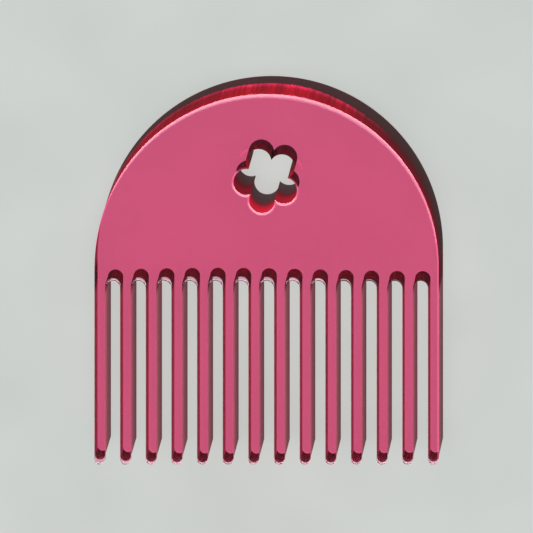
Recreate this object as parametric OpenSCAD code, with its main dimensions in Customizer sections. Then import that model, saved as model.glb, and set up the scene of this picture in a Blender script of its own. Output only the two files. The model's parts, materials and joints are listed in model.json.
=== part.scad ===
// Wide-tooth palm comb, cut in one piece from clear tinted sheet.
//
// The comb lies flat on its back face: X runs along the row of teeth, Y points
// from the tips towards the arched back, and Z is the sheet's thickness.
// The origin is at the middle of the outline's box, on the back face.

/* [Sheet] */
// Thickness of the sheet
sheet_t = 5; // [3:0.5:8]

/* [Teeth] */
// Distance from one tooth's centre line to the next
tooth_pitch = 7.5; // [6.5:0.1:9]
// Width of each tooth
tooth_w = 3.1; // [2:0.1:4]
// Length of each tooth, from the top of a slot to the tip
tooth_len = 53.7; // [30:0.5:80]

/* [Back] */
// Height of the straight sides between the arch and the tops of the slots
shoulder_h = 4.2; // [2:0.1:12]

/* [Flower] */
// Height of the flower's centre above the arch's centre
flower_rise = 25.1; // [16:0.1:32]
// Distance from the flower's centre to each petal's centre
petal_ring_r = 5.95; // [5:0.05:6.3]
// Radius of each petal
petal_r = 3.75; // [3.75:0.05:4.5]
// Turn of the first petal from the row of teeth, in degrees
flower_turn = 41; // [0:1:71]

/* [Hidden] */
TOOTH_COUNT = 14;
PETAL_COUNT = 5;
CUT_MARGIN = 1;
CIRCLE_FN = 128;
SHEET_COLOR = [0.80, 0.30, 0.44, 0.8];

comb_w = (TOOTH_COUNT - 1) * tooth_pitch + tooth_w;
arch_r = comb_w / 2;
comb_h = arch_r + shoulder_h + tooth_len;

slot_w = tooth_pitch - tooth_w;
slot_root_r = slot_w / 2;
tip_r = tooth_w / 2;

tip_y = -comb_h / 2;
arch_y = comb_h / 2 - arch_r;
slot_top_y = arch_y - shoulder_h;
// Line through the centres of the round slot tops, where the teeth begin
root_y = slot_top_y - slot_root_r;
flower_y = arch_y + flower_rise;

function tooth_x(i) = (i - (TOOTH_COUNT - 1) / 2) * tooth_pitch;
function slot_x(i) = tooth_x(i) + tooth_pitch / 2;
function tooth_name(i) = str("tooth_", i + 1 < 10 ? "0" : "", i + 1);

TOOTH_NAMES = [for (i = [0 : TOOTH_COUNT - 1]) tooth_name(i)];

// Five round petals about an open middle
module flower_outline() {
    middle_r = petal_ring_r * cos(180 / PETAL_COUNT);
    circle(r = middle_r, $fn = CIRCLE_FN);
    for (i = [0 : PETAL_COUNT - 1]) {
        rotate(flower_turn + i * 360 / PETAL_COUNT)
            translate([petal_ring_r, 0])
                circle(r = petal_r, $fn = CIRCLE_FN);
    }
}

// Half disc on straight shoulders, down to the line where the teeth begin
module arch_outline() {
    intersection() {
        translate([0, arch_y])
            circle(r = arch_r, $fn = CIRCLE_FN);
        translate([-arch_r, arch_y])
            square([comb_w, arch_r]);
    }
    translate([-arch_r, root_y])
        square([comb_w, arch_y - root_y]);
}

// The grip, with the flower cut through it and the round tops of the slots
module back() {
    color(SHEET_COLOR)
        difference() {
            linear_extrude(height = sheet_t)
                arch_outline();
            translate([0, flower_y, -CUT_MARGIN])
                linear_extrude(height = sheet_t + 2 * CUT_MARGIN)
                    flower_outline();
            for (i = [0 : TOOTH_COUNT - 2]) {
                translate([slot_x(i), root_y, -CUT_MARGIN])
                    cylinder(r = slot_root_r, h = sheet_t + 2 * CUT_MARGIN, $fn = CIRCLE_FN);
            }
        }
}

// One straight tooth with a half-round tip
module tooth(i) {
    tip_centre_y = tip_y + tip_r;
    color(SHEET_COLOR)
        translate([tooth_x(i), 0, 0])
            linear_extrude(height = sheet_t) {
                translate([-tip_r, tip_centre_y])
                    square([tooth_w, root_y - tip_centre_y]);
                translate([0, tip_centre_y])
                    circle(r = tip_r, $fn = CIRCLE_FN);
            }
}

back();
for (i = [0 : TOOTH_COUNT - 1]) {
    tooth(i);
}
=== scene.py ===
"""Palm comb cut from clear raspberry acrylic sheet, lying on a pale, softly glowing table.

Everything is in metres, in the comb's own frame: X along the row of teeth, Y from the tips towards
the arched back, Z through the sheet from the face it lies on to the face on top.
"""

import json
import logging
import math
from contextlib import contextmanager
from dataclasses import dataclass
from enum import Enum
from typing import Callable, ClassVar, Iterable, Iterator

import bmesh
import bpy
from mathutils import Matrix, Vector


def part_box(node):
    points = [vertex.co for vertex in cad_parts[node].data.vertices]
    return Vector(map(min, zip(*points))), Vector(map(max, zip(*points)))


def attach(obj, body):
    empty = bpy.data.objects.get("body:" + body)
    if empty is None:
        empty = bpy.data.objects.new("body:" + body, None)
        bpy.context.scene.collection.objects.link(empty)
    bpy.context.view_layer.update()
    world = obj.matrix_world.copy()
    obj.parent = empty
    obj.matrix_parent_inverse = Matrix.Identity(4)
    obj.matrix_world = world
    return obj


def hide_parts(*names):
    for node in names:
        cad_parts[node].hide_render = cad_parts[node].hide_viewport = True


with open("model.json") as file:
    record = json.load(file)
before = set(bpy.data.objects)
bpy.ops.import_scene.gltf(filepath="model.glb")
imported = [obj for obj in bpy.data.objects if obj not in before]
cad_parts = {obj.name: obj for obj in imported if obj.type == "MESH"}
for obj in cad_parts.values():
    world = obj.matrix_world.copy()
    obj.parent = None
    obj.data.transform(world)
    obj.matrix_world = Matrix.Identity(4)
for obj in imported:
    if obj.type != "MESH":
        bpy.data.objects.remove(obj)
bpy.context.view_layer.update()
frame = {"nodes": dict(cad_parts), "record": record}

LOG = logging.getLogger("palm_comb")
CUT_MARK = "laser_cut"
# marks how much painted light each wall's colour gets
PAINTED_LIGHT_MARK = "painted_edge_light"
LEFT_MARK = "left_wall"
FLOWER_MARK = "flower_wall"
LIP_MARK = "lip"
RIM_HIGHLIGHT_MARK = "painted_rim_highlight"
BACK_MARK = "back_face"
LIT_MARK = "lit_lip"
FACING = 0.9  # a face looks a given way when at least this much of its normal points there
SQUARE_ON = 0.999  # the same for a face that has to be flat across that way
UPRIGHT = 0.5  # a face stands upright when less than this much of its normal is along Z
SAME_PLACE = 0.00001  # places closer than this are the same
SAME_LEVEL = 0.000001  # heights closer than this are the same
Colour = tuple[float, float, float]
Steps = tuple[tuple[float, float], ...]
Stops = tuple[tuple[float, Colour], ...]


def rise(value: float, start: float, end: float) -> float:
    """0 up to start, 1 from end on, and an even rise between them."""
    return min(max((value - start) / (end - start), 0.0), 1.0)


# ---------------------------------------------------------------------------------------------
# Modelling tools
# ---------------------------------------------------------------------------------------------


class Pick(Enum):
    """The kind of element that edit mode selects."""

    VERTS = "VERT"
    EDGES = "EDGE"
    FACES = "FACE"


class Combine(Enum):
    """How one solid acts on another."""

    CUT = "DIFFERENCE"
    JOIN = "UNION"


def deselect_all() -> None:
    """Leaves every object unselected."""
    bpy.ops.object.select_all(action="DESELECT")


def activate(obj: bpy.types.Object) -> None:
    """Makes obj the only selected object, and the active one."""
    deselect_all()
    obj.select_set(True)
    bpy.context.view_layer.objects.active = obj


@contextmanager
def editing(obj: bpy.types.Object, mode: Pick) -> Iterator[bmesh.types.BMesh]:
    """Opens obj in edit mode with nothing selected, and closes it again.

    Args:
        obj: The mesh object to edit.
        mode: The kind of element that is selected.

    Returns:
        The edit mesh, whose elements can be selected in code.
    """
    activate(obj)
    bpy.ops.object.mode_set(mode="EDIT")
    bpy.ops.mesh.select_mode(type=mode.value)
    bpy.ops.mesh.select_all(action="DESELECT")
    yield bmesh.from_edit_mesh(obj.data)
    bpy.ops.object.mode_set(mode="OBJECT")


def pick(elements: Iterable, wanted: Callable[..., bool]) -> int:
    """Selects the elements that pass a test.

    Args:
        elements: Faces, edges or vertices of an edit mesh.
        wanted: The test, called with one element.

    Returns:
        How many were selected.
    """
    count = 0
    for element in elements:
        if wanted(element):
            element.select_set(True)
            count += 1
    return count


def add_disc(name: str, radius: float, depth: float, centre: Vector, segments: int) -> bpy.types.Object:
    """Adds an upright cylinder with flat ends.

    Args:
        name: The object's name.
        radius: Its radius.
        depth: Its height along Z.
        centre: Its middle.
        segments: How many sides it has.

    Returns:
        The new object, with its place in its mesh.
    """
    deselect_all()
    bpy.ops.mesh.primitive_cylinder_add(
        vertices=segments, radius=radius, depth=depth, end_fill_type="NGON", location=centre
    )
    disc = bpy.context.active_object
    disc.name = name
    bpy.ops.object.transform_apply(location=True, rotation=True, scale=True)
    return disc


def keep_above(obj: bpy.types.Object, y: float) -> None:
    """Cuts obj across, closes the cut and keeps the part with the larger Y.

    Args:
        obj: The object.
        y: Where the cut is.
    """
    with editing(obj, Pick.FACES):
        bpy.ops.mesh.select_all(action="SELECT")
        bpy.ops.mesh.bisect(plane_co=(0, y, 0), plane_no=(0, 1, 0), use_fill=True, clear_inner=True)


def stretch_down(obj: bpy.types.Object, y: float, reach: float) -> None:
    """Extrudes the flat side of obj towards -Y.

    Args:
        obj: The object.
        y: Where its flat side lies.
        reach: How far the side moves.
    """
    with editing(obj, Pick.FACES) as mesh:
        pick(mesh.faces, lambda f: f.normal.y < -FACING and abs(f.calc_center_median().y - y) < SAME_PLACE)
        bpy.ops.mesh.extrude_region_move(TRANSFORM_OT_translate={"value": (0, -reach, 0)})


def copy_moved(obj: bpy.types.Object, shift: Vector) -> bpy.types.Object:
    """Copies obj with its own mesh.

    Args:
        obj: The object.
        shift: How far the copy is moved.

    Returns:
        The copy.
    """
    twin = obj.copy()
    twin.data = obj.data.copy()
    twin.data.transform(Matrix.Translation(shift))
    bpy.context.collection.objects.link(twin)
    return twin


def row_of(model: bpy.types.Object, shifts: list[Vector]) -> bpy.types.Object:
    """Replaces model with a row of copies, joined into one object.

    Args:
        model: The object that is repeated.
        shifts: How far each copy is moved.

    Returns:
        The row.
    """
    twins = [copy_moved(model, shift) for shift in shifts]
    bpy.data.objects.remove(model, do_unlink=True)
    activate(twins[0])
    for twin in twins:
        twin.select_set(True)
    bpy.ops.object.join()
    return twins[0]


def combine(target: bpy.types.Object, tool: bpy.types.Object, how: Combine) -> None:
    """Joins tool to target or cuts it out of target, and removes tool.

    Args:
        target: The object that changes.
        tool: The other object.
        how: Join or cut.
    """
    boolean = target.modifiers.new("combine", "BOOLEAN")
    boolean.operation = how.value
    boolean.solver = "EXACT"
    boolean.object = tool
    activate(target)
    bpy.ops.object.modifier_apply(modifier=boolean.name)
    bpy.data.objects.remove(tool, do_unlink=True)


# ---------------------------------------------------------------------------------------------
# The comb
# ---------------------------------------------------------------------------------------------


@dataclass(frozen=True)
class CombPlan:
    """The comb's sizes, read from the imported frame."""

    thickness: float
    arch_radius: float
    arch_y: float
    root_y: float
    tip_y: float
    tooth_width: float
    pitch: float
    flower_y: float
    tooth_nodes: tuple[str, ...]

    @classmethod
    def from_frame(cls) -> "CombPlan":
        """Measures the CAD nodes.

        Returns:
            The sizes.
        """
        teeth = tuple(sorted(name for name in frame["nodes"] if name.startswith("tooth_")))
        back_low, back_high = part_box("back")
        first_low, first_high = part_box(teeth[0])
        second_low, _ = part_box(teeth[1])
        openings = frame["record"]["physics"]["openings"]
        flower_low, flower_high = next(o["box_m"] for o in openings if o["name"] == "flower_window")
        return cls(
            thickness=back_high[2] - back_low[2],
            arch_radius=(back_high[0] - back_low[0]) / 2,
            arch_y=back_high[1] - (back_high[0] - back_low[0]) / 2,
            root_y=back_low[1],
            tip_y=first_low[1],
            tooth_width=first_high[0] - first_low[0],
            pitch=second_low[0] - first_low[0],
            flower_y=(flower_low[1] + flower_high[1]) / 2,
            tooth_nodes=teeth,
        )

    def slot_centres(self) -> list[float]:
        """X of each slot's centre line."""
        slots = len(self.tooth_nodes) - 1
        return [(i - (slots - 1) / 2) * self.pitch for i in range(slots)]


@dataclass(frozen=True)
class CutPass:
    """One depth of the sheet and the outline it is cut to.

    The outline is drawn in by a hair on the rear pass, which also stops a little short of the slot tops
    and the tips, and so leaves a thin clear lip there.
    """

    low: float
    high: float
    drawn_in: float
    root_lifts: tuple[float, ...]
    tip_trims: tuple[float, ...]


@dataclass
class Comb:
    """The comb itself, one continuous piece of clear sheet.

    A step is how far an edge moves along the face, and how far it rises. A lean is a limit or a range of one
    part of a face's normal, and so is petal_light. The arch's painted light grows and dims over ranges of X.
    """

    plan: CombPlan
    arch_segments: int = 512
    slot_segments: int = 96
    petal_segments: int = 128
    petal_count: int = 5
    petal_radius: float = 0.00375
    petal_ring_radius: float = 0.00595
    flower_turn: float = math.radians(41)
    crown_steps: Steps = (
        (0.00004, 0.00004), (0.00038, 0.000064), (0.00030, 0.000026), (0.00035, 0.000010),
    )
    crown_side: float = 0.4
    petal_steps: Steps = (
        (0.00004, 0.00004), (0.00025, 0.00007), (0.00030, 0.00003),
    )
    back_ease: float = 0.00008
    petal_back_ease: float = 0.00005
    petal_flared: tuple[bool, ...] = (False, False, True, True, True)
    # painted light: how much of the lit wall colour each petal's walls get
    petal_painted_light: tuple[float, ...] = (0.4, 0.4, 0.22, 1.0, 0.55)
    petal_light: tuple[float, float] = (-0.3, 0.2)
    petal_span: float = 1.2
    rim_segments: int = 3
    rim_light: float = 0.16
    rim_lean: tuple[float, float] = (0.3, 0.9999)
    wall_lean: float = 0.2
    clear_lean: float = 0.1
    left_lean: tuple[float, float] = (0.85, 0.98)
    arch_lean: tuple[float, float] = (0.1, 0.6)
    arch_light: tuple[float, float] = (-0.022, -0.006)
    arch_dim: tuple[float, float] = (0.010, 0.036)
    arch_least: float = 0.35
    smooth_angle: float = math.radians(35)
    tip_slack: float = 0.000001
    tip_block: float = 0.8
    cut_margin: float = 0.001
    crowned_margin: float = 0.003
    lip_depth: float = 0.0005
    least_lip: float = 0.0004
    pass_step: float = 0.00002
    pass_overlap: float = 0.0002
    lip_peak: float = 0.00098
    lip_peak_slot: int = 4
    lip_reach: int = 8
    trim_least: float = 0.00025
    trim_left: float = 0.00092
    trim_left_fade: float = 1.6
    trim_right: float = 0.00035
    trim_right_from: int = 7

    def root_lifts(self) -> tuple[float, ...]:
        """How far each slot's top stands above the rear pass's: most at one slot, fading to both sides."""
        turns = ((i - self.lip_peak_slot) / self.lip_reach for i in range(len(self.plan.slot_centres())))
        return tuple(self.lip_peak * math.cos(turn * math.pi / 2) ** 2 for turn in turns)

    def tip_trims(self) -> tuple[float, ...]:
        """How much shorter each tip is on the rear pass: most at the left, and a little at the right."""
        last = len(self.plan.tooth_nodes) - 1
        return tuple(
            self.trim_least
            + self.trim_left * math.exp(-i / self.trim_left_fade)
            + self.trim_right * (max(i - self.trim_right_from, 0) / (last - self.trim_right_from)) ** 2
            for i in range(last + 1)
        )

    def build(self) -> bpy.types.Object:
        """Cuts the comb out of a crowned blank in two passes, and cuts the flower through both.

        Returns:
            The comb.
        """
        p = self.plan
        split = p.thickness - self.lip_depth
        level = (0.0,) * len(p.tooth_nodes)
        front = CutPass(split, p.thickness, 0.0, level[1:], level)
        rear = CutPass(0.0, split + self.pass_overlap, self.pass_step, self.root_lifts(), self.tip_trims())
        comb = self.cut_pass(front, crowned=True)
        combine(comb, self.cut_pass(rear, crowned=False), Combine.JOIN)
        comb.name = "comb"
        self.ease_back(comb)
        for cutter in self.flower_cutters():
            combine(comb, cutter, Combine.CUT)
        self.smooth(comb)
        return comb

    def cut_pass(self, layer: CutPass, crowned: bool) -> bpy.types.Object:
        """Makes one layer of the comb with its slots and tips.

        Args:
            layer: The layer.
            crowned: True if its front face curves down to the rim.

        Returns:
            The layer.
        """
        body = self.blank(layer, crowned)
        combine(body, self.slot_cutters(layer), Combine.CUT)
        combine(body, self.tip_cutters(layer), Combine.CUT)
        return body

    def crown_rise(self) -> float:
        """How far the front face stands above its rim."""
        return sum(rise for _, rise in self.crown_steps)

    def blank(self, layer: CutPass, crowned: bool) -> bpy.types.Object:
        """A half-round blank with straight sides, whose front face may curve down to its rim.

        Args:
            layer: The layer that it is for.
            crowned: True if its front face curves down to the rim.

        Returns:
            The blank.
        """
        p = self.plan
        high = layer.high - (self.crown_rise() if crowned else 0.0)
        spare = self.crowned_margin if crowned else self.cut_margin
        centre = Vector((0, p.arch_y, (layer.low + high) / 2))
        radius = p.arch_radius - layer.drawn_in
        blank = add_disc("blank", radius, high - layer.low, centre, self.arch_segments)
        keep_above(blank, p.arch_y)
        stretch_down(blank, p.arch_y, p.arch_y - p.tip_y + spare)
        if crowned:
            with editing(blank, Pick.FACES) as mesh:
                pick(mesh.faces, lambda f: f.normal.z > SQUARE_ON)
                left = (-p.arch_radius, p.arch_y, high)
                for width, rise in self.crown_steps:
                    move = {"value": (0, -width, rise)}
                    bpy.ops.mesh.extrude_region_move(TRANSFORM_OT_translate=move)
                    narrower = 1 - width * self.crown_side / (2 * p.arch_radius)
                    bpy.ops.transform.resize(value=(narrower, 1, 1), center_override=left)
        keep_above(blank, p.tip_y + layer.drawn_in)
        return blank

    def slot_cutters(self, layer: CutPass) -> bpy.types.Object:
        """Makes one long round-topped cutter for each slot.

        Args:
            layer: The layer that they cut.

        Returns:
            The cutters, joined.
        """
        p = self.plan
        depth = layer.high - layer.low + 2 * self.cut_margin
        radius = (p.pitch - p.tooth_width) / 2 + layer.drawn_in
        root = Vector((0, p.root_y, (layer.low + layer.high) / 2))
        cutter = add_disc("cutter", radius, depth, root, self.slot_segments)
        keep_above(cutter, p.root_y)
        stretch_down(cutter, p.root_y, p.root_y - p.tip_y + self.cut_margin + max(layer.root_lifts))
        return row_of(cutter, [Vector((x, y, 0)) for x, y in zip(p.slot_centres(), layer.root_lifts)])

    def tip_cutters(self, layer: CutPass) -> bpy.types.Object:
        """Makes a small block for each tooth, hollowed to the half-round tip that it leaves.

        Args:
            layer: The layer that they cut.

        Returns:
            The blocks, joined.
        """
        p = self.plan
        depth = layer.high - layer.low + 2 * self.cut_margin
        radius = p.tooth_width / 2 - layer.drawn_in
        line = p.tip_y + p.tooth_width / 2
        middle = (layer.low + layer.high) / 2
        height = radius + self.cut_margin + max(layer.tip_trims)
        deselect_all()
        bpy.ops.mesh.primitive_cube_add(size=1.0, location=(0, line - height / 2, middle))
        block = bpy.context.active_object
        block.scale = (p.pitch * self.tip_block, height, depth)
        bpy.ops.object.transform_apply(location=True, rotation=True, scale=True)
        centre = Vector((0, line, middle))
        round_end = add_disc("cutter", radius + self.tip_slack, depth * 2, centre, self.slot_segments)
        combine(block, round_end, Combine.CUT)
        half = (len(p.tooth_nodes) - 1) / 2
        shifts = [Vector(((i - half) * p.pitch, trim, 0)) for i, trim in enumerate(layer.tip_trims)]
        return row_of(block, shifts)

    def flower_cutters(self) -> Iterator[bpy.types.Object]:
        """Makes the flower's round middle, then each petal; the lower petals' edges are eased.

        Returns:
            The cutters, one by one.
        """
        p = self.plan
        middle = Vector((0, p.flower_y, p.thickness / 2))
        depth = p.thickness + 2 * self.cut_margin
        share = math.tau / self.petal_count
        centre_radius = self.petal_ring_radius * math.cos(share / 2)
        yield add_disc("cutter", centre_radius, depth, middle, self.petal_segments)
        for i in range(self.petal_count):
            turn = self.flower_turn + i * share
            out = Vector((math.cos(turn), math.sin(turn), 0)) * self.petal_ring_radius
            if self.petal_flared[i]:
                yield self.flared_cutter(middle + out)
            else:
                yield add_disc("cutter", self.petal_radius, depth, middle + out, self.petal_segments)

    def flared_cutter(self, centre: Vector) -> bpy.types.Object:
        """Makes a round cutter that widens in steps at the front face and a little at the back.

        Args:
            centre: Its middle.

        Returns:
            The cutter.
        """
        low = self.petal_back_ease
        high = self.plan.thickness - sum(rise for _, rise in self.petal_steps)
        middle = Vector((centre.x, centre.y, (low + high) / 2))
        cutter = add_disc("cutter", self.petal_radius, high - low, middle, self.petal_segments)
        self.flare(cutter, middle, self.petal_steps, side=1)
        self.flare(cutter, middle, ((low, low),), side=-1)
        return cutter

    def flare(self, cutter: bpy.types.Object, centre: Vector, steps: Steps, side: int) -> None:
        """Widens a petal cutter's end in steps, and then carries it past the sheet.

        Args:
            cutter: The cutter.
            centre: Its middle.
            steps: How much wider and how much further out each step goes.
            side: 1 for the front end and -1 for the back end.
        """
        radius = self.petal_radius
        with editing(cutter, Pick.FACES) as mesh:
            pick(mesh.faces, lambda f: f.normal.z * side > SQUARE_ON)
            for width, rise in (*steps, (0.0, self.cut_margin)):
                bpy.ops.mesh.extrude_region_move(TRANSFORM_OT_translate={"value": (0, 0, rise * side)})
                growth = (radius + width) / radius
                bpy.ops.transform.resize(value=(growth, growth, 1), center_override=tuple(centre))
                radius += width

    def ease_back(self, comb: bpy.types.Object) -> None:
        """Takes the sharpness off the back face's edges.

        Args:
            comb: The comb.
        """

        def meets_wall(edge: bmesh.types.BMEdge) -> bool:
            """True for an edge between the back face and a cut wall."""
            level = all(abs(vert.co.z) < SAME_LEVEL for vert in edge.verts)
            return level and any(abs(face.normal.z) < UPRIGHT for face in edge.link_faces)

        with editing(comb, Pick.EDGES) as mesh:
            found = pick(mesh.edges, meets_wall)
            LOG.info("back edges to ease: %d", found)
            bpy.ops.mesh.bevel(
                offset=self.back_ease, segments=self.rim_segments, affect="EDGES", clamp_overlap=True
            )

    def smooth(self, comb: bpy.types.Object) -> None:
        """Shades walls and curved edges smooth, and marks each face for the material.

        Args:
            comb: The comb.
        """
        activate(comb)
        bpy.ops.object.shade_smooth_by_angle(angle=self.smooth_angle)
        mesh = comb.data
        flat = self.rim_lean[1]
        mesh.polygons.foreach_set("use_smooth", [abs(polygon.normal.z) < flat for polygon in mesh.polygons])
        marks = {
            CUT_MARK: lambda face: float(abs(face.normal.z) < self.wall_lean and not self.is_clear(face)),
            PAINTED_LIGHT_MARK: self.painted_light_at,
            LEFT_MARK: lambda face: rise(-face.normal.x, *self.left_lean),
            FLOWER_MARK: self.in_flower,
            LIP_MARK: self.under_lip,
            LIT_MARK: lambda face: self.under_lip(face) * float(face.center.y > self.plan.root_y),
            RIM_HIGHLIGHT_MARK: self.rim_highlight_at,
            BACK_MARK: lambda face: float(face.normal.z < -FACING and face.center.z < self.pass_step),
        }
        for name, rule in marks.items():
            values = [rule(polygon) for polygon in mesh.polygons]
            mesh.attributes.new(name, "FLOAT", "FACE").data.foreach_set("value", values)

    def is_clear(self, wall: bpy.types.MeshPolygon) -> bool:
        """Tells whether a wall is left clear, as at a tooth's tip and where a slot's lip is deep enough.

        Args:
            wall: The wall.

        Returns:
            True if it is clear.
        """
        p = self.plan
        if wall.center.z < p.thickness - self.lip_depth or wall.normal.y > -self.clear_lean:
            return False
        if wall.center.y < p.tip_y + p.tooth_width:
            return True
        lifts = self.root_lifts()
        slot = round(wall.center.x / p.pitch + (len(lifts) - 1) / 2)
        near_root = wall.center.y < p.root_y + p.pitch
        return near_root and 0 <= slot < len(lifts) and lifts[slot] >= self.least_lip

    def in_flower(self, face: bpy.types.MeshPolygon) -> float:
        """1 for the flower's walls."""
        middle = Vector((0, self.plan.flower_y, face.center.z))
        reach = self.petal_ring_radius + self.petal_radius * self.petal_span
        return float((face.center - middle).length < reach)

    def under_lip(self, face: bpy.types.MeshPolygon) -> float:
        """1 for the thin lip's inner face, which the rear pass leaves."""
        inside = abs(face.center.z - (self.plan.thickness - self.lip_depth)) < self.pass_step
        return float(inside and face.normal.z < -FACING)

    def rim_highlight_at(self, face: bpy.types.MeshPolygon) -> float:
        """Works out how much painted highlight a face of the crown gives off: most where it is steep, and
        least next to the flat.

        Args:
            face: The face.

        Returns:
            Its painted highlight, from 0 to 1.
        """
        steepest, flat = self.rim_lean
        if face.center.z < self.plan.thickness - self.crown_rise() or not steepest < face.normal.z < flat:
            return 0.0
        return rise(math.hypot(face.normal.x, face.normal.y), 0.0, self.rim_light)

    def painted_light_at(self, wall: bpy.types.MeshPolygon) -> float:
        """Works out how much painted light a wall's colour gets, in place of light carried inside the sheet:
        more on walls that face +Y, and on the arch by place along X.

        Args:
            wall: The wall.

        Returns:
            Its painted light, from 0 to 1.
        """
        across = wall.center.x
        if self.in_flower(wall):
            turn = math.atan2(wall.center.y - self.plan.flower_y, across) - self.flower_turn
            petal = round(turn / (math.tau / self.petal_count)) % self.petal_count
            return rise(wall.normal.y, *self.petal_light) * self.petal_painted_light[petal]
        rising = self.arch_least + (1 - self.arch_least) * rise(across, *self.arch_light)
        return rise(wall.normal.y, *self.arch_lean) * rising * (1 - rise(across, *self.arch_dim))


# ---------------------------------------------------------------------------------------------
# Materials
# ---------------------------------------------------------------------------------------------


def link_or_set(tree: bpy.types.NodeTree, given: object, socket: bpy.types.NodeSocket) -> None:
    """Links given to socket if it is a socket, and sets it as the plain value if not.

    Args:
        tree: The node tree.
        given: A socket, a number or a colour.
        socket: The socket that takes it.
    """
    if isinstance(given, bpy.types.NodeSocket):
        tree.links.new(given, socket)
    else:
        socket.default_value = given


def add_math(tree: bpy.types.NodeTree, operation: str, *inputs: object) -> bpy.types.NodeSocket:
    """Adds a Math node.

    Args:
        tree: The node tree.
        operation: The node's operation.
        inputs: Sockets to link, or numbers to set, in order.

    Returns:
        The node's output.
    """
    node = tree.nodes.new("ShaderNodeMath")
    node.operation = operation
    for socket, given in zip(node.inputs, inputs):
        link_or_set(tree, given, socket)
    return node.outputs["Value"]


def add_range(
    tree: bpy.types.NodeTree,
    value: bpy.types.NodeSocket,
    source: tuple[float, float],
    target: tuple[float, float] = (0.0, 1.0),
) -> bpy.types.NodeSocket:
    """Maps a value softly from one range to another and holds it at the ends.

    Args:
        tree: The node tree.
        value: The value to map.
        source: The range that it comes in.
        target: The range that it goes to.

    Returns:
        The mapped value.
    """
    node = tree.nodes.new("ShaderNodeMapRange")
    node.interpolation_type = "SMOOTHSTEP"
    names = ("From Min", "From Max", "To Min", "To Max")
    for name, number in zip(names, (*source, *target)):
        node.inputs[name].default_value = number
    tree.links.new(value, node.inputs["Value"])
    return node.outputs["Result"]


def add_ramp(
    tree: bpy.types.NodeTree, value: bpy.types.NodeSocket, stops: Stops
) -> bpy.types.NodeSocket:
    """Adds a colour ramp.

    Args:
        tree: The node tree.
        value: What the ramp reads.
        stops: The place and colour of each stop, in order.

    Returns:
        The ramp's colour.
    """
    node = tree.nodes.new("ShaderNodeValToRGB")
    elements = node.color_ramp.elements
    while len(elements) < len(stops):
        elements.new(0.5)
    for element, (place, colour) in zip(elements, stops):
        element.position = place
        element.color = (*colour, 1)
    tree.links.new(value, node.inputs["Fac"])
    return node.outputs["Color"]


def add_blend(
    tree: bpy.types.NodeTree, share: object, first: object, second: object, kind: str = "RGBA"
) -> bpy.types.NodeSocket:
    """Adds a Mix node.

    Args:
        tree: The node tree.
        share: How much of the second shows.
        first: What shows at 0.
        second: What shows at 1.
        kind: "RGBA" for colours or "FLOAT" for values.

    Returns:
        The blended colour or value.
    """
    node = tree.nodes.new("ShaderNodeMix")
    node.data_type = kind
    wanted = "RGBA" if kind == "RGBA" else "VALUE"
    ends = [socket for socket in node.inputs if socket.name in ("A", "B") and socket.type == wanted]
    link_or_set(tree, share, node.inputs[0])
    link_or_set(tree, first, ends[0])
    link_or_set(tree, second, ends[1])
    return next(socket for socket in node.outputs if socket.type == wanted)


def add_mark(tree: bpy.types.NodeTree, name: str) -> bpy.types.NodeSocket:
    """Adds a node that reads one of the mesh's marks.

    Args:
        tree: The node tree.
        name: The mark's name.

    Returns:
        The mark's value.
    """
    node = tree.nodes.new("ShaderNodeAttribute")
    node.attribute_name = name
    return node.outputs["Fac"]


def add_place(tree: bpy.types.NodeTree) -> bpy.types.NodeOutputs:
    """Adds nodes that give the place on the object, split into X, Y and Z.

    Args:
        tree: The node tree.

    Returns:
        The three outputs, by name.
    """
    place = tree.nodes.new("ShaderNodeTexCoord")
    split = tree.nodes.new("ShaderNodeSeparateXYZ")
    tree.links.new(place.outputs["Object"], split.inputs["Vector"])
    return split.outputs


class Effect:
    """A shader node group, built once and placed in each material with its own values."""

    def __init__(self, name: str, numbers: dict[str, float]) -> None:
        """Makes the empty group.

        Args:
            name: The group's name.
            numbers: Its inputs and their usual values.
        """
        self.tree = bpy.data.node_groups.new(name, "ShaderNodeTree")
        for label, usual in numbers.items():
            socket = self.tree.interface.new_socket(
                name=label, in_out="INPUT", socket_type="NodeSocketFloat"
            )
            socket.default_value = usual
        self.tree.interface.new_socket(name="Value", in_out="OUTPUT", socket_type="NodeSocketFloat")
        self.given = self.tree.nodes.new("NodeGroupInput")
        self.result = self.tree.nodes.new("NodeGroupOutput")

    def place(self, tree: bpy.types.NodeTree, **numbers: float) -> bpy.types.NodeSocket:
        """Places the group in a material.

        Args:
            tree: The material's nodes.
            numbers: The values for this material, by input name.

        Returns:
            The group's value.
        """
        node = tree.nodes.new("ShaderNodeGroup")
        node.node_tree = self.tree
        for label, number in numbers.items():
            node.inputs[label].default_value = number
        return node.outputs["Value"]


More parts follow.
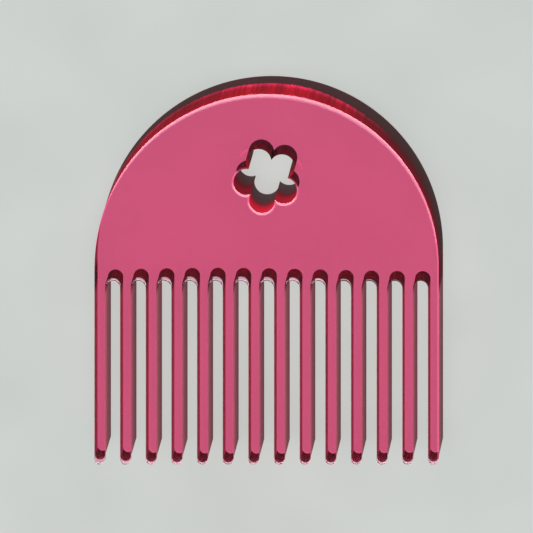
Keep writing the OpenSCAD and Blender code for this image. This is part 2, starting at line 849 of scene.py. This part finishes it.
class Grain(Effect):
    """Noise that can be drawn out along X, Y or Z, between a low and a high value."""

    USUAL = {"AcrossX": 100.0, "AcrossY": 100.0, "AcrossZ": 100.0, "Detail": 2.0, "Low": 0.0, "High": 1.0}
    NOISE_LOW = 0.3
    NOISE_HIGH = 0.7

    def __init__(self) -> None:
        """Builds the group."""
        super().__init__("grain", self.USUAL)
        place = self.tree.nodes.new("ShaderNodeTexCoord")
        scale = self.tree.nodes.new("ShaderNodeCombineXYZ")
        for axis in "XYZ":
            self.tree.links.new(self.given.outputs[f"Across{axis}"], scale.inputs[axis])
        drawn = self.tree.nodes.new("ShaderNodeVectorMath")
        drawn.operation = "MULTIPLY"
        self.tree.links.new(place.outputs["Object"], drawn.inputs[0])
        self.tree.links.new(scale.outputs["Vector"], drawn.inputs[1])
        noise = self.tree.nodes.new("ShaderNodeTexNoise")
        noise.inputs["Scale"].default_value = 1.0
        self.tree.links.new(drawn.outputs["Vector"], noise.inputs["Vector"])
        self.tree.links.new(self.given.outputs["Detail"], noise.inputs["Detail"])
        spread = self.tree.nodes.new("ShaderNodeMapRange")
        spread.inputs["From Min"].default_value = self.NOISE_LOW
        spread.inputs["From Max"].default_value = self.NOISE_HIGH
        self.tree.links.new(noise.outputs["Fac"], spread.inputs["Value"])
        self.tree.links.new(self.given.outputs["Low"], spread.inputs["To Min"])
        self.tree.links.new(self.given.outputs["High"], spread.inputs["To Max"])
        self.tree.links.new(spread.outputs["Result"], self.result.inputs["Value"])


@dataclass(frozen=True)
class ClearAcrylic:
    """Clear tinted acrylic: polished faces and laser-cut walls, with painted light and shade in the walls'
    colours and painted glows that some faces give off.

    A ramp runs from the back face at 0 to the front face at 1. Ranges are in metres.
    """

    plan: CombPlan
    grain: Grain
    name: str = "raspberry_acrylic"
    refraction: float = 1.49
    tint: Colour = (0.996, 0.247, 0.576)
    tint_density: float = 400.0
    face_roughness: tuple[float, float] = (0.008, 0.03)
    wall_roughness: float = 0.34
    wall_clearness: float = 0.05
    wall_gloss: float = 0.0
    # painted light: the arch walls' lit colours; body_shade is their painted shaded copy
    painted_lit_body_wall: Stops = (
        (0.0, (0.052, 0.026, 0.029)),
        (0.38, (0.056, 0.024, 0.027)),
        (0.43, (0.88, 0.030, 0.115)),
        (0.50, (0.66, 0.022, 0.066)),
        (0.60, (0.40, 0.011, 0.024)),
        (0.85, (0.33, 0.010, 0.019)),
        (1.0, (0.44, 0.014, 0.028)),
    )
    body_shade: Stops = (
        (0.0, (0.048, 0.030, 0.030)),
        (0.34, (0.046, 0.021, 0.022)),
        (0.56, (0.085, 0.009, 0.013)),
        (0.80, (0.125, 0.007, 0.011)),
        (1.0, (0.165, 0.008, 0.013)),
    )
    drift: float = 0.14
    drift_range: tuple[float, float] = (0.007, 0.030)
    tooth_wall: Stops = (
        (0.0, (0.120, 0.048, 0.062)),
        (0.60, (0.190, 0.068, 0.086)),
        (0.95, (0.420, 0.105, 0.145)),
    )
    # painted light: the flower walls' lit colours; flower_shade is their painted shaded copy
    flower_wall: Stops = (
        (0.0, (0.055, 0.040, 0.042)),
        (0.36, (0.050, 0.028, 0.032)),
        (0.56, (0.110, 0.014, 0.020)),
        (0.76, (0.400, 0.010, 0.024)),
        (1.0, (0.480, 0.016, 0.034)),
    )
    flower_shade: Stops = (
        (0.0, (0.055, 0.036, 0.038)),
        (0.32, (0.050, 0.022, 0.026)),
        (0.56, (0.080, 0.007, 0.012)),
        (1.0, (0.095, 0.006, 0.012)),
    )
    # painted light: what the left-hand walls give off, brightest at the back face
    painted_left_light: Stops = (
        (0.0, (0.40, 0.26, 0.28)),
        (0.22, (0.21, 0.070, 0.085)),
        (0.45, (0.115, 0.024, 0.032)),
        (1.0, (0.095, 0.013, 0.019)),
    )
    # painted light: a faint pink glow that the back face gives off
    painted_back_glow: Colour = (0.080, 0.011, 0.020)
    # painted highlight: the pink line that the crown's rim gives off as emission
    painted_rim_highlight: Colour = (0.32, 0.050, 0.100)
    lip_tint: Colour = (0.97, 0.50, 0.62)
    # painted light: a glow that the lips at the slot tops give off
    painted_lip_light: Colour = (0.17, 0.050, 0.070)
    shade_wall: Colour = (0.080, 0.008, 0.015)
    glow_range: tuple[float, float] = (0.004, 0.007)
    shade_range: tuple[float, float] = (-0.003, 0.0005)

    STREAKS: ClassVar = {"AcrossX": 1500, "AcrossY": 1500, "AcrossZ": 70, "Low": -0.02, "High": 0.02}
    PATCHES: ClassVar = {"AcrossX": 160, "AcrossY": 160, "AcrossZ": 0, "Low": 0.5, "High": 1.1}
    TICKS: ClassVar = {"AcrossX": 1100, "AcrossY": 1100, "AcrossZ": 60, "Low": 0.35, "High": 1.25}
    RIDGES: ClassVar = {"AcrossX": 3000, "AcrossY": 3000, "AcrossZ": 80, "Detail": 3}
    SMUDGES: ClassVar = {"AcrossX": 90, "AcrossY": 90, "AcrossZ": 90, "Detail": 6}
    RIDGE_STRENGTH: ClassVar = 0.4
    RIDGE_HEIGHT: ClassVar = 0.0001
    BLACK: ClassVar = (0, 0, 0, 1)
    WHITE: ClassVar = (1, 1, 1, 1)

    def wall_colour(self, tree: bpy.types.NodeTree) -> bpy.types.NodeSocket:
        """Adds a colour, darker and greyer towards the back face and redder towards the front, with fine
        streaks, painted shade at the slot tops and painted light on walls that face +Y.

        Args:
            tree: The material's nodes.

        Returns:
            The colour.
        """
        place = add_place(tree)
        height = add_math(tree, "DIVIDE", place["Z"], self.plan.thickness)
        level = add_math(tree, "ADD", height, self.grain.place(tree, **self.STREAKS))
        above_root = add_math(tree, "SUBTRACT", place["Y"], self.plan.root_y)
        beside_slot = add_range(tree, above_root, self.shade_range)
        teeth = add_blend(tree, beside_slot, add_ramp(tree, level, self.tooth_wall), (*self.shade_wall, 1))
        # painted light: walls marked as facing +Y take the lit ramps, broken up by patches and ticks
        glow = add_mark(tree, PAINTED_LIGHT_MARK)
        patches = self.grain.place(tree, **self.PATCHES)
        ticks = self.grain.place(tree, **self.TICKS)
        share = add_math(tree, "MULTIPLY", glow, add_math(tree, "MULTIPLY", patches, ticks))
        drift = add_range(tree, place["X"], self.drift_range, (0.0, self.drift))
        arch_level = add_math(tree, "SUBTRACT", level, drift)
        arch_shade = add_ramp(tree, arch_level, self.body_shade)
        arch = add_blend(tree, share, arch_shade, add_ramp(tree, arch_level, self.painted_lit_body_wall))
        petal_shade = add_ramp(tree, height, self.flower_shade)
        flower = add_blend(tree, glow, petal_shade, add_ramp(tree, height, self.flower_wall))
        body = add_blend(tree, add_mark(tree, FLOWER_MARK), arch, flower)
        return add_blend(tree, add_range(tree, above_root, self.glow_range), teeth, body)

    def painted_wall_light(self, tree: bpy.types.NodeTree) -> bpy.types.NodeSocket:
        """Adds painted light that the left-hand walls give off as emission, from the back edge to the front
        one.

        Args:
            tree: The material's nodes.

        Returns:
            The painted light's colour.
        """
        place = add_place(tree)
        outside = add_math(tree, "SUBTRACT", 1.0, add_mark(tree, FLOWER_MARK))
        below = add_math(tree, "SUBTRACT", self.plan.root_y, place["Y"])
        low, high = self.shade_range
        beside_slot = add_range(tree, below, (-high, -low))
        back = add_range(tree, below, (-self.glow_range[1], -self.glow_range[0]), (1.0, 0.0))
        share = add_math(tree, "MULTIPLY", add_mark(tree, LEFT_MARK), outside)
        share = add_math(tree, "MULTIPLY", share, add_math(tree, "ADD", beside_slot, back))
        height = add_math(tree, "DIVIDE", place["Z"], self.plan.thickness)
        return add_blend(tree, share, self.BLACK, add_ramp(tree, height, self.painted_left_light))

    def ridges(self, tree: bpy.types.NodeTree) -> bpy.types.NodeSocket:
        """Adds the fine ridges that the cut leaves across the thickness.

        Args:
            tree: The material's nodes.

        Returns:
            The normal.
        """
        bump = tree.nodes.new("ShaderNodeBump")
        bump.inputs["Strength"].default_value = self.RIDGE_STRENGTH
        bump.inputs["Distance"].default_value = self.RIDGE_HEIGHT
        tree.links.new(self.grain.place(tree, **self.RIDGES), bump.inputs["Height"])
        return bump.outputs["Normal"]

    def painted_face_light(self, tree: bpy.types.NodeTree, lit: bpy.types.NodeSocket) -> bpy.types.NodeSocket:
        """Adds the painted light that the back face, the lips at the slot tops and the crown's rim give off
        as emission.

        Args:
            tree: The material's nodes.
            lit: The mark of the lips at the slot tops.

        Returns:
            The painted light's colour.
        """
        painted_back = add_blend(tree, add_mark(tree, BACK_MARK), self.BLACK, (*self.painted_back_glow, 1))
        inner = add_blend(tree, lit, painted_back, (*self.painted_lip_light, 1))
        return add_blend(tree, add_mark(tree, RIM_HIGHLIGHT_MARK), inner, (*self.painted_rim_highlight, 1))

    def polished(self, tree: bpy.types.NodeTree) -> bpy.types.NodeSocket:
        """Adds the shader of the polished faces.

        Args:
            tree: The material's nodes.

        Returns:
            The shader's output.
        """
        face = tree.nodes.new("ShaderNodeBsdfPrincipled")
        lip_colour = add_blend(tree, add_mark(tree, LIP_MARK), self.WHITE, (*self.lip_tint, 1))
        tree.links.new(lip_colour, face.inputs["Base Color"])
        low, high = self.face_roughness
        smudges = self.grain.place(tree, **self.SMUDGES, Low=low, High=high)
        tree.links.new(smudges, face.inputs["Roughness"])
        # painted light: emission on the back face, the slot-top lips and the crown's rim
        tree.links.new(self.painted_face_light(tree, add_mark(tree, LIT_MARK)), face.inputs["Emission Color"])
        face.inputs["Emission Strength"].default_value = 1.0
        face.inputs["IOR"].default_value = self.refraction
        face.inputs["Transmission Weight"].default_value = 1.0
        return face.outputs["BSDF"]

    def cut(self, tree: bpy.types.NodeTree) -> bpy.types.NodeSocket:
        """Adds the shader of the laser-cut walls.

        Args:
            tree: The material's nodes.

        Returns:
            The shader's output.
        """
        wall = tree.nodes.new("ShaderNodeBsdfPrincipled")
        tree.links.new(self.wall_colour(tree), wall.inputs["Base Color"])
        wall.inputs["Roughness"].default_value = self.wall_roughness
        wall.inputs["IOR"].default_value = self.refraction
        wall.inputs["Specular IOR Level"].default_value = self.wall_gloss
        wall.inputs["Transmission Weight"].default_value = self.wall_clearness
        tree.links.new(self.ridges(tree), wall.inputs["Normal"])
        # painted light: emission on the left-hand walls
        tree.links.new(self.painted_wall_light(tree), wall.inputs["Emission Color"])
        wall.inputs["Emission Strength"].default_value = 1.0
        return wall.outputs["BSDF"]

    def build(self) -> bpy.types.Material:
        """Makes the material.

        Returns:
            The material.
        """
        material = bpy.data.materials.new(self.name)
        material.use_nodes = True
        tree = material.node_tree
        tree.nodes.clear()
        mix = tree.nodes.new("ShaderNodeMixShader")
        tree.links.new(add_mark(tree, CUT_MARK), mix.inputs["Fac"])
        tree.links.new(self.polished(tree), mix.inputs[1])
        tree.links.new(self.cut(tree), mix.inputs[2])
        absorption = tree.nodes.new("ShaderNodeVolumeAbsorption")
        absorption.inputs["Color"].default_value = (*self.tint, 1)
        absorption.inputs["Density"].default_value = self.tint_density
        output = tree.nodes.new("ShaderNodeOutputMaterial")
        tree.links.new(mix.outputs["Shader"], output.inputs["Surface"])
        tree.links.new(absorption.outputs["Volume"], output.inputs["Volume"])
        return material


# ---------------------------------------------------------------------------------------------
# The table, the light and the camera
# ---------------------------------------------------------------------------------------------


@dataclass(frozen=True)
class Table:
    """A plain, pale, matt table top that glows softly and evenly from below, with painted pink light near the
    comb.
    """

    grain: Grain
    side: float = 8.0
    drop: float = 0.0004
    paint: Colour = (0.02, 0.0208, 0.0202)
    glow: Colour = (0.575, 0.605, 0.585)
    # painted light: near the comb the glow turns this warmer tone, in place of light cast through the pink
    # sheet
    painted_dye_light: Colour = (0.593, 0.596, 0.574)
    painted_light_centre: tuple[float, float] = (0.0, -0.015)
    painted_light_range: tuple[float, float] = (0.040, 0.075)
    strength: float = 1.0
    cloud: tuple[float, float] = (0.86, 0.92)
    roughness: float = 0.9
    gloss: float = 0.1

    CLOUDS: ClassVar = {"AcrossX": 32, "AcrossY": 32, "AcrossZ": 0, "Detail": 1}

    def build(self) -> bpy.types.Object:
        """Adds the table top.

        Returns:
            The table top.
        """
        deselect_all()
        bpy.ops.mesh.primitive_plane_add(size=self.side, location=(0, 0, -self.drop))
        top = bpy.context.active_object
        top.name = "table_top"
        bpy.ops.object.transform_apply(location=True, rotation=True, scale=True)
        top.data.materials.append(self.finish())
        return top

    def finish(self) -> bpy.types.Material:
        """Makes its paint and glow; the glow is a little warmer near the comb, as painted light from the pink
        sheet.

        Returns:
            The material.
        """
        material = bpy.data.materials.new("pale_table")
        material.use_nodes = True
        tree = material.node_tree
        shader = tree.nodes["Principled BSDF"]
        shader.inputs["Base Color"].default_value = (*self.paint, 1)
        shader.inputs["Roughness"].default_value = self.roughness
        shader.inputs["Specular IOR Level"].default_value = self.gloss
        low, high = self.cloud
        level = self.grain.place(tree, **self.CLOUDS, Low=low, High=high)
        place = tree.nodes.new("ShaderNodeTexCoord")
        near = tree.nodes.new("ShaderNodeVectorMath")
        near.operation = "DISTANCE"
        tree.links.new(place.outputs["Object"], near.inputs[0])
        # painted light: the warmer tone fades out with distance from a point under the comb
        near.inputs[1].default_value = (*self.painted_light_centre, -self.drop)
        share = add_range(tree, near.outputs["Value"], self.painted_light_range, (1.0, 0.0))
        tone = add_blend(tree, share, (*self.glow, 1), (*self.painted_dye_light, 1))
        colour = tree.nodes.new("ShaderNodeVectorMath")
        colour.operation = "SCALE"
        tree.links.new(tone, colour.inputs[0])
        tree.links.new(level, colour.inputs["Scale"])
        tree.links.new(colour.outputs["Vector"], shader.inputs["Emission Color"])
        shader.inputs["Emission Strength"].default_value = self.strength
        return material


@dataclass(frozen=True)
class SoftBox:
    """A rectangular area light that faces straight down, or towards the comb."""

    name: str
    place: tuple[float, float, float]
    size: tuple[float, float]
    radiance: float
    faces_comb: bool = True

    def build(self) -> None:
        """Adds the light."""
        data = bpy.data.lights.new(self.name, "AREA")
        data.shape = "RECTANGLE"
        data.size, data.size_y = self.size
        data.energy = self.radiance * math.pi * self.size[0] * self.size[1]
        light = bpy.data.objects.new(self.name, data)
        light.location = self.place
        if self.faces_comb:
            light.rotation_mode = "QUATERNION"
            light.rotation_quaternion = Vector(self.place).to_track_quat("Z", "Y")
        bpy.context.collection.objects.link(light)


@dataclass(frozen=True)
class Studio:
    """Soft studio light: a dim room and broad soft boxes."""

    room: Colour = (0.09, 0.095, 0.093)
    boxes: tuple[SoftBox, ...] = (
        SoftBox("ceiling", (-0.3, 0.75, 1.5), (4.0, 3.7), 6.0, faces_comb=False),
        SoftBox("ceiling_edge", (-0.3, -1.275, 1.5), (4.0, 0.35), 2.5, faces_comb=False),
    )

    def build(self) -> None:
        """Adds the room and its lights."""
        world = bpy.data.worlds.new("studio")
        bpy.context.scene.world = world
        world.use_nodes = True
        world.node_tree.nodes["Background"].inputs["Color"].default_value = (*self.room, 1)
        for box in self.boxes:
            box.build()


@dataclass(frozen=True)
class ViewCamera:
    """A long lens that looks down on the comb aslant, with its picture plane parallel to the comb's face."""

    target: Vector
    height: float = 1.1
    slant: tuple[float, float] = (0.3146, 1.1455)
    frame_width: float = 0.1558
    sensor: float = 36.0
    near: float = 0.01
    far: float = 50.0

    def build(self) -> None:
        """Adds the camera and makes it the scene's own."""
        towards = Vector((*self.slant, 1.0))
        distance = towards.length * self.height
        towards.normalize()
        place = self.target + towards * distance
        data = bpy.data.cameras.new("camera")
        data.sensor_width = self.sensor
        data.lens = self.sensor * distance / self.frame_width
        data.clip_start, data.clip_end = self.near, self.far
        camera = bpy.data.objects.new("camera", data)
        rig = bpy.data.objects.new("camera_rig", None)
        for part in (camera, rig):
            bpy.context.collection.objects.link(part)
        camera.parent = rig
        camera.matrix_parent_inverse = Matrix(
            ((1, 0, towards.x, place.x), (0, 1, towards.y, place.y), (0, 0, towards.z, place.z), (0, 0, 0, 1))
        )
        bpy.context.scene.camera = camera


@dataclass(frozen=True)
class LightPaths:
    """How far light is followed through clear sheet."""

    bounces: int = 32
    through: int = 32
    mirrored: int = 16

    def apply(self) -> None:
        """Sets the scene's light paths and plain colours."""
        scene = bpy.context.scene
        scene.view_settings.view_transform = "Standard"
        scene.cycles.max_bounces = self.bounces
        scene.cycles.transmission_bounces = self.through
        scene.cycles.glossy_bounces = self.mirrored


def main() -> None:
    """Builds the comb, then the table, the light and the camera."""
    logging.basicConfig(level=logging.INFO, format="%(message)s")
    plan = CombPlan.from_frame()
    grain = Grain()
    comb = Comb(plan).build()
    comb.data.materials.append(ClearAcrylic(plan, grain).build())
    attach(comb, "root")
    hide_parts("back", *plan.tooth_nodes)
    LOG.info("comb: %d faces", len(comb.data.polygons))
    Table(grain).build()
    Studio().build()
    ViewCamera(Vector((0, plan.arch_y, plan.thickness))).build()
    LightPaths().apply()


if __name__ == "__main__":
    main()
